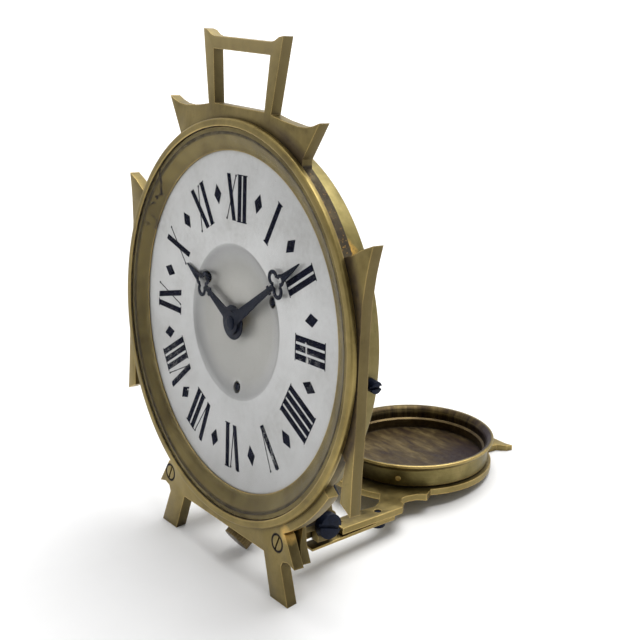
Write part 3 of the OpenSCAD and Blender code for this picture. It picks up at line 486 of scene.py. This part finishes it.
def blued_material():
    """Dark blued steel."""
    g = Graph("blued_steel")
    point = g.place()
    fine = g.noise(point, 700, 5, 0.6)
    colour = g.ramp(
        fine,
        [(0.3, (0.003, 0.005, 0.012)), (0.6, (0.007, 0.011, 0.026)), (0.8, (0.020, 0.022, 0.034))],
    )
    colour = g.mix(g.times(g.edges(0.05), 0.12), colour, (0.06, 0.065, 0.09, 1))
    rough = g.span(fine, 0.3, 0.7, 0.34, 0.50)
    return g.surface(colour, rough, 0.25, fine, 0.01, Specular_IOR_Level=0.12)


def steel_material():
    """Brushed steel of the movement."""
    g = Graph("polished_steel")
    point = g.place()
    grain = g.noise(g.place(None, (3000, 3000, 300)), 1.0, 3)
    colour = g.ramp(grain, [(0.3, (0.36, 0.37, 0.39)), (0.7, (0.60, 0.61, 0.63))])
    return g.surface(colour, g.span(g.noise(point, 500), 0.3, 0.7, 0.22, 0.38), 1.0, grain, 0.006)


def glass_material():
    """Nearly clear glass: a faint dark coat that only shows its reflections."""
    g = Graph("flat_glass")
    return g.surface((0, 0, 0, 1), 0.05, 0.0, g.noise(g.place(), 90, 2), 0.01, IOR=1.45, Alpha=0.03)


MATERIALS = {
    "casting": brass("cast_brass", OLIVE, GOLD, where=DIAL, edge=0.45, extra=casting_wear_and_painted_light),
    "rim": brass(
        "rim_brass", TURNED, GOLD, where=DIAL, turned="Y", edge=0.6, edge_amount=0.8, crevice=0.5
    ),
    "sight": brass(
        "sight_ring_brass", SIGHT, GOLD, where=DIAL, turned="Y", crevice=0.45, extra=ring_damage
    ),
    "drum": brass(
        "drum_brass", SPUN, GOLD, where=DIAL, turned="Y", crevice=3.0, extra=drum_damage_and_painted_shade
    ),
    "base": brass("base_brass", OLIVE, GOLD, where=BASE, crevice=2.2),
    "dish": brass(
        "dish_brass", SPUN_DARK, GOLD, where=DISH, turned="Z",
        edge=0.9, edge_amount=0.85, crevice=2.0, extra=dish_stains,
    ),
    "liner": brass("liner_brass", BROWN, DULL_GOLD, where=DISH, turned="Z", crevice=2.0),
    "knob": brass("knob_brass", BROWN, WORN_GOLD, edge=0.3, crevice=0.8),
    "pin": brass("pin_brass", CLEAN, GOLD, edge=0.15, crevice=0.5),
    "screw": brass(
        "flush_screw_brass", OLIVE, GOLD, where=DIAL,
        edge=0.2, edge_amount=0.3, crevice=1.2, dirt_and_shade_amount=1.0, extra=screw_wear,
    ),
    "movement": brass(
        "movement_brass", CLEAN, GOLD, edge=0.2, rough=(0.22, 0.36), crevice=1.0, dirt_and_shade_amount=0.5
    ),
    "dial": dial_material(),
    "ink": ink_material(),
    "blued": blued_material(),
    "steel": steel_material(),
    "glass": glass_material(),
}


# ---------------------------------------------------------------- pieces
def body_of(node):
    return NODES[node]["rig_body"]


def add_piece(name, mesh, node, material, smooth=35):
    """A mesh in the row frame that stands for a CAD node and rides on its body."""
    piece = bpy.data.objects.new(name, mesh)
    bpy.context.scene.collection.objects.link(piece)
    mesh.materials.clear()
    mesh.materials.append(MATERIALS[material])
    mesh.shade_smooth()
    mesh.set_sharp_from_angle(angle=radians(smooth))
    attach(piece, body_of(node))
    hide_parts(node)
    return piece


def soften(node, material, width=0.25, segments=3, sharp=28):
    """The CAD node's shape with its sharp edges rounded."""
    bm = bmesh.new()
    bm.from_mesh(NODES[node].data)
    bmesh.ops.remove_doubles(bm, verts=bm.verts, dist=2e-6)
    bmesh.ops.dissolve_limit(bm, angle_limit=radians(0.6), verts=bm.verts, edges=bm.edges)
    edges = [e for e in bm.edges if e.is_manifold and e.calc_face_angle(0) > radians(sharp)]
    bmesh.ops.bevel(
        bm,
        geom=edges,
        offset=width * MM,
        offset_type="OFFSET",
        segments=segments,
        profile=0.5,
        affect="EDGES",
        clamp_overlap=True,
    )
    bmesh.ops.triangulate(bm, faces=[f for f in bm.faces if len(f.verts) > 4])
    mesh = bpy.data.meshes.new(node + "_look")
    bm.to_mesh(mesh)
    bm.free()
    return add_piece(node + "_look", mesh, node, material)


def rounded(profile, radius, steps=3):
    """A closed profile with each corner turned into a small curve."""
    points = []
    for i, corner in enumerate(profile):
        here = Vector(corner)
        sides = [Vector(profile[i - 1]) - here, Vector(profile[(i + 1) % len(profile)]) - here]
        if here.x < 1e-6 or min(s.length for s in sides) < 1e-6:
            points.append(here)
            continue
        reach = min(radius, *(s.length * 0.45 for s in sides))
        a, b = (here + s.normalized() * reach for s in sides)
        for k in range(steps + 1):
            t = k / steps
            points.append(a * (1 - t) ** 2 + here * (2 * t * (1 - t)) + b * t * t)
    return points


def lathe(node, material, profile, where, axis, radius=0.2, around=256, smooth=35):
    """A turned piece from a closed profile of (radius, height) points in mm."""
    points = rounded(profile, radius)
    bm = bmesh.new()
    rings = []
    for p in points:
        ring = []
        for k in range(around):
            a = 2 * pi * k / around
            u, v = p.x * sin(a), p.x * cos(a)
            local = (u, p.y, v) if axis == "Y" else (u, v, p.y)
            ring.append(bm.verts.new(where @ (Vector(local) * MM)))
        rings.append(ring)
    for i, ring in enumerate(rings):
        after = rings[(i + 1) % len(rings)]
        if max(points[i].x, points[(i + 1) % len(points)].x) < 1e-6:
            continue
        for k in range(around):
            n = (k + 1) % around
            bm.faces.new((ring[k], ring[n], after[n], after[k]))
    bmesh.ops.remove_doubles(bm, verts=bm.verts, dist=1e-7)
    bmesh.ops.delete(bm, geom=[v for v in bm.verts if not v.link_faces], context="VERTS")
    bmesh.ops.recalc_face_normals(bm, faces=bm.faces)
    mesh = bpy.data.meshes.new(node + "_look")
    bm.to_mesh(mesh)
    bm.free()
    return add_piece(node + "_look", mesh, node, material, smooth)


# Profiles as in the CAD source: (radius, depth) on the dial's axis
RIM_IN, RIM_OUT, RIM_FRONT = 48.0, 50.0, -2.0
lathe(
    "bezel_rim", "rim",
    [(RIM_IN, RIM_FRONT + 0.15), (RIM_IN + 0.2, RIM_FRONT), (RIM_OUT - 0.35, RIM_FRONT),
     (RIM_OUT, RIM_FRONT + 0.35), (RIM_OUT, PLATE_FRONT), (RIM_IN, PLATE_FRONT)],
    DIAL, "Y", 0.3,
)
SIGHT_OUT, SIGHT_FRONT, OPENING, DIAL_FRONT, DRUM_R = 47.9, -1.45, 42.1, 0.75, 46.5
land = SIGHT_OUT - 1.2
cove = [
    (land - t / 20 * (land - OPENING),
     SIGHT_FRONT + (DIAL_FRONT - 0.3 - SIGHT_FRONT) * sin(t / 20 * pi / 2) ** 1.25)
    for t in range(21)
]
lathe(
    "sight_ring", "sight",
    [(SIGHT_OUT, SIGHT_FRONT), *cove, (OPENING, DIAL_FRONT), (DRUM_R, DIAL_FRONT),
     (DRUM_R, PLATE_FRONT), (SIGHT_OUT, PLATE_FRONT)],
    DIAL, "Y", 0.15,
)
DRUM_FRONT, DRUM_BACK, WALL = 1.45, 8.6, 0.8
lathe(
    "drum_case", "drum",
    [(DRUM_R - WALL, DRUM_FRONT), (DRUM_R, DRUM_FRONT), (DRUM_R, DRUM_BACK), (0, DRUM_BACK),
     (0, DRUM_BACK - WALL), (DRUM_R - WALL, DRUM_BACK - WALL)],
    DIAL, "Y", 0.35,
)
CAN_R, CAN_BACK, CAN_WALL = 17.0, 16.5, 0.7
lathe(
    "rear_cover", "drum",
    [(CAN_R - CAN_WALL, DRUM_BACK), (CAN_R, DRUM_BACK), (CAN_R, CAN_BACK - 0.6),
     (CAN_R - 0.6, CAN_BACK), (0, CAN_BACK), (0, CAN_BACK - CAN_WALL),
     (CAN_R - CAN_WALL, CAN_BACK - CAN_WALL)],
    DIAL, "Y", 0.35, 192,
)
lathe(
    "hand_nut", "blued",
    [(0, -0.8), (1.3, -0.8), (1.7, -0.6), (1.7, -0.35), (0, -0.35)],
    DIAL, "Y", 0.12, 64,
)
DISH_R, DISH_LOW, DISH_TOP, SPIGOT_LOW = 20.8, -2.67, 3.84, -3.02
lathe(
    "dish_cup", "dish",
    [(0, DISH_LOW), (DISH_R - 4.5, DISH_LOW), (DISH_R - 4.5, SPIGOT_LOW), (DISH_R - 2.4, SPIGOT_LOW),
     (DISH_R - 2.4, DISH_LOW), (DISH_R, DISH_LOW), (DISH_R, DISH_TOP - 2),
     (DISH_R + 0.5, DISH_TOP - 1.4), (DISH_R + 1.5, DISH_TOP - 0.9),
     (DISH_R + 1.75, DISH_TOP - 0.4), (DISH_R + 1.5, DISH_TOP), (DISH_R + 0.6, DISH_TOP),
     (DISH_R - 0.2, DISH_TOP - 0.7), (DISH_R - 0.7, DISH_TOP - 1.6),
     (DISH_R - 0.7, DISH_LOW + 0.6), (0, DISH_LOW + 0.6)],
    DISH, "Z", 0.35,
)
lathe(
    "dish_liner", "liner",
    [(DISH_R - 1.5, DISH_LOW + 0.6), (DISH_R - 0.72, DISH_LOW + 0.6), (DISH_R - 0.72, DISH_LOW + 3.4),
     (DISH_R - 0.95, DISH_LOW + 3.4), (DISH_R - 1.5, DISH_LOW + 3)],
    DISH, "Z", 0.12,
)

for node, material, slot, width in (
    ("frame_casting", "casting", "brass_casting", 0.30),
    ("hinge_bracket_right", "casting", "brass_casting", 0.25),
    ("hinge_bracket_left", "casting", "brass_casting", 0.25),
    ("stop_bracket", "casting", "brass_casting", 0.2),
    ("base_frame", "base", "brass_casting", 0.22),
    ("leaf_springs", "base", "brass_casting", 0.15),
    ("bracket_screws", "screw", "brass_casting", 0.12),
    ("pivot_screws", "blued", "blued_steel", 0.25),
    ("drum_screws", "blued", "blued_steel", 0.2),
    ("spring_screws", "blued", "blued_steel", 0.2),
    ("stop_bracket_screw", "blued", "blued_steel", 0.12),
    ("stop_button", "knob", "brass_dark", 0.14),
    ("minute_hand", "blued", "blued_steel", 0.07),
    ("hour_hand", "blued", "blued_steel", 0.08),
    ("dish_pins", "pin", "brass_movement", 0.1),
    ("dial", "dial", "dial_silver", 0.35),
):
    soften(node, material, width)

SLOT_LOOK = {
    "brass_casting": "casting",
    "brass_turned": "drum",
    "brass_movement": "movement",
    "brass_dark": "liner",
    "dial_silver": "dial",
    "dial_ink": "ink",
    "blued_steel": "blued",
    "steel": "steel",
    "glass": "glass",
}
for part in frame["record"]["subparts"]:
    data = NODES[part["node"]].data
    data.materials.clear()
    data.materials.append(MATERIALS[SLOT_LOOK[part["material_slot"]]])

# ---------------------------------------------------------------- floor, light and camera
floor_mesh = bpy.data.meshes.new("floor")
FLOOR_HALF = 3.0
floor_mesh.from_pydata(
    [(x * FLOOR_HALF, y * FLOOR_HALF, 0) for x, y in ((-1, -1), (1, -1), (1, 1), (-1, 1))],
    [],
    [(0, 1, 2, 3)],
)
floor = bpy.data.objects.new("floor", floor_mesh)
bpy.context.scene.collection.objects.link(floor)
g = Graph("pale_floor")
ground = g.place()
# The floor glows a little far behind the clock, so that it meets the white backdrop
behind = g.vector("DOT_PRODUCT", ground, (-0.79, 0.61, 0), out=1)
floor_mesh.materials.append(
    g.surface(
        g.ramp(g.noise(ground, 30, 3), [(0.3, (0.90, 0.90, 0.90)), (0.7, (0.93, 0.93, 0.93))]),
        rough=0.85,
        metallic=0.0,
        Emission_Color=(1, 1, 1, 1),
        Emission_Strength=g.span(behind, 0.2, 1.2, 0.0, 0.75),
    )
)


def soft_box(name, place, target, size, power):
    """A rectangular lamp that faces its target."""
    light = bpy.data.lights.new(name, "AREA")
    light.shape = "RECTANGLE"
    light.size, light.size_y = size
    light.energy = power
    lamp = bpy.data.objects.new(name, light)
    bpy.context.scene.collection.objects.link(lamp)
    lamp.location = place
    lamp.rotation_euler = (Vector(target) - Vector(place)).to_track_quat("-Z", "Y").to_euler()


AIM = (0, 0, 0.06)
soft_box("key", (-0.25, -0.75, 0.75), AIM, (0.7, 0.7), 1.9)
soft_box("side", (0.95, -0.05, 0.45), AIM, (0.5, 0.7), 0.45)
soft_box("top", (0.05, 0.35, 1.0), AIM, (0.8, 0.8), 11)

# The backdrop is white behind the clock and dark on the camera's side
WHITE_SIDE = Vector((-0.75, 0.62, 0.15)).normalized()
DARK_GREY = 0.22
world = bpy.data.worlds.new("studio")
bpy.context.scene.world = world
world.use_nodes = True
tree = world.node_tree
background = tree.nodes["Background"]
background.inputs["Strength"].default_value = 1.0
sky = tree.nodes.new("ShaderNodeTexCoord")
facing = tree.nodes.new("ShaderNodeVectorMath")
facing.operation = "DOT_PRODUCT"
facing.inputs[1].default_value = WHITE_SIDE
tree.links.new(sky.outputs["Generated"], facing.inputs[0])
shade = tree.nodes.new("ShaderNodeValToRGB")
shade.color_ramp.elements[0].position = 0.0
shade.color_ramp.elements[0].color = (DARK_GREY, DARK_GREY, DARK_GREY, 1)
shade.color_ramp.elements[1].position = 0.55
shade.color_ramp.elements[1].color = (1.0, 1.0, 1.0, 1)
tree.links.new(facing.outputs["Value"], shade.inputs[0])
tree.links.new(shade.outputs[0], background.inputs["Color"])

# The camera stands in front and to the right, in the clock's upright frame
AZIMUTH, ELEVATION, ROLL = radians(52.52), radians(11.22), radians(3.10)
CAMERA_PLACE = (243.08, -160.07, 142.18)
LENS, SENSOR = 68.96, 36
SHIFT_X, SHIFT_Y = -0.0022, -0.1266
back = Vector((sin(AZIMUTH) * cos(ELEVATION), -cos(AZIMUTH) * cos(ELEVATION), sin(ELEVATION)))
level = Vector((0, 0, 1)).cross(back).normalized()
upright = back.cross(level)
right = cos(ROLL) * level + sin(ROLL) * upright
above = -sin(ROLL) * level + cos(ROLL) * upright
pose = Matrix((right, above, back)).transposed().to_4x4()
pose.translation = Vector(CAMERA_PLACE) * MM
data = bpy.data.cameras.new("camera")
data.lens = LENS
data.sensor_width = SENSOR
data.shift_x = SHIFT_X
data.shift_y = SHIFT_Y
data.clip_start = 0.01
data.clip_end = 20
camera = bpy.data.objects.new("camera", data)
bpy.context.scene.collection.objects.link(camera)
camera.matrix_world = STAND @ pose
bpy.context.scene.camera = camera
bpy.context.scene.view_settings.view_transform = "Standard"
